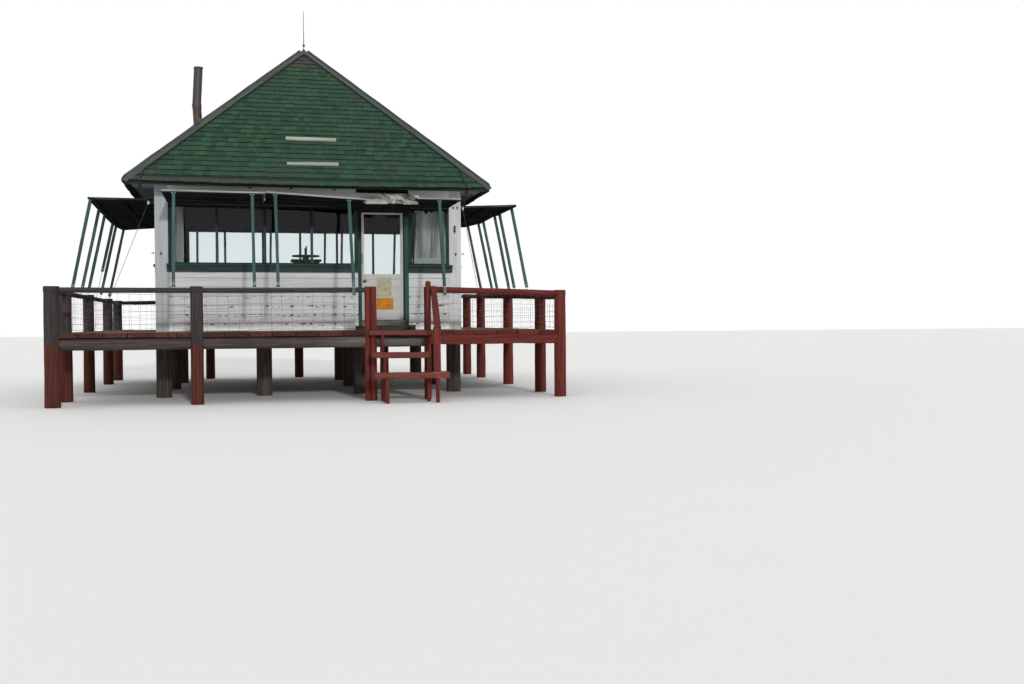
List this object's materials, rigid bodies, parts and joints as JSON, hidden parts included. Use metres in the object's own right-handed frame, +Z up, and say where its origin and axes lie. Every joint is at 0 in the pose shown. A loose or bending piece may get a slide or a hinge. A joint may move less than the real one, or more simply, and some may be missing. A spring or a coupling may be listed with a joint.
{
  "type": "ground-level fire lookout cabin",
  "caption": "Square lookout cabin with a shingled pyramid roof, windows all round under propped shutters, and a railed plank deck on log posts with a short stair.",
  "frame": {"origin": "middle of the footprint's box, at the level of the lowest foot", "axes": "+Z up, -Y out of the front with the door and stair, +X to the right as seen from the front"},
  "size_m": [7.65, 8.3799, 6.8868],
  "materials": {
    "barn_red": "weathered red stain",
    "brown_stain": "weathered brown stain",
    "curtain_cloth": "matt cotton",
    "deck_planks": "worn red stain on rough planks",
    "finder_metal": "dark enamel",
    "floorboards": "worn varnish",
    "green_trim": "dark green paint",
    "grey_boards": "bare weathered boards",
    "knob_metal": "tarnished",
    "pipe_metal": "rusted sheet steel",
    "post_stain": "old stain over round logs",
    "raw_timber": "weathered, rough-sawn",
    "rod_metal": "weathered",
    "roof_shingles": "faded green paint on wood shingles",
    "shutter_boards": "dark green underside",
    "strut_green": "teal-green paint",
    "white_boards": "weathered white paint",
    "window_glass": "old clear glass"
  },
  "bodies": {
    "cabin": {"back_deck": "deck_planks", "back_wall": "white_boards", "cabin_floor": "floorboards", "cabin_sills": "raw_timber", "ceiling": "white_boards", "corner_posts": "white_boards", "curtain_left": "curtain_cloth", "curtain_right": "curtain_cloth", "deck_ledgers": "raw_timber", "deck_posts": "post_stain", "door_frame": "green_trim", "door_hinges": "knob_metal", "door_step": "raw_timber", "finder_stand": "floorboards", "fire_finder": "finder_metal", "floor_joists": "raw_timber", "foundation_posts": "raw_timber", "front_beam_left": "brown_stain", "front_beam_right": "barn_red", "front_deck": "deck_planks", "front_rail_left": "brown_stain", "front_rail_right": "barn_red", "front_shutter_left": "shutter_boards", "front_shutter_middle": "shutter_boards", "front_shutter_right": "shutter_boards", "front_struts": "strut_green", "front_wall_left": "white_boards", "front_wall_right": "white_boards", "front_window_frames": "green_trim", "hip_caps": "grey_boards", "left_wall": "white_boards", "lightning_cables": "rod_metal", "lightning_rod": "rod_metal", "outer_beams": "post_stain", "outer_rails": "post_stain", "outer_shutters": "shutter_boards", "outer_struts": "strut_green", "outer_window_frames": "green_trim", "pipe_flashing": "pipe_metal", "right_wall": "white_boards", "roof_back": "roof_shingles", "roof_cleats": "grey_boards", "roof_front": "roof_shingles", "roof_left": "roof_shingles", "roof_right": "roof_shingles", "side_decks": "deck_planks", "soffit_boards": "white_boards", "stair_frame": "barn_red", "stair_handrail": "barn_red", "stair_posts": "barn_red", "stair_treads": "barn_red", "stovepipe": "pipe_metal", "wall_heads": "white_boards", "window_glass": "window_glass", "window_sills": "green_trim"},
    "door": {"door_glass": "window_glass", "door_knob": "knob_metal", "door_knuckles": "knob_metal", "door_leaf": "white_boards"}
  },
  "joints": [
    {"name": "door_hinge", "type": "hinge", "parent": "cabin", "child": "door", "pos_m": [1.4875, -1.831, 1.21], "axis": [0, 0, -1], "range_deg": [0, 95]}
  ]
}
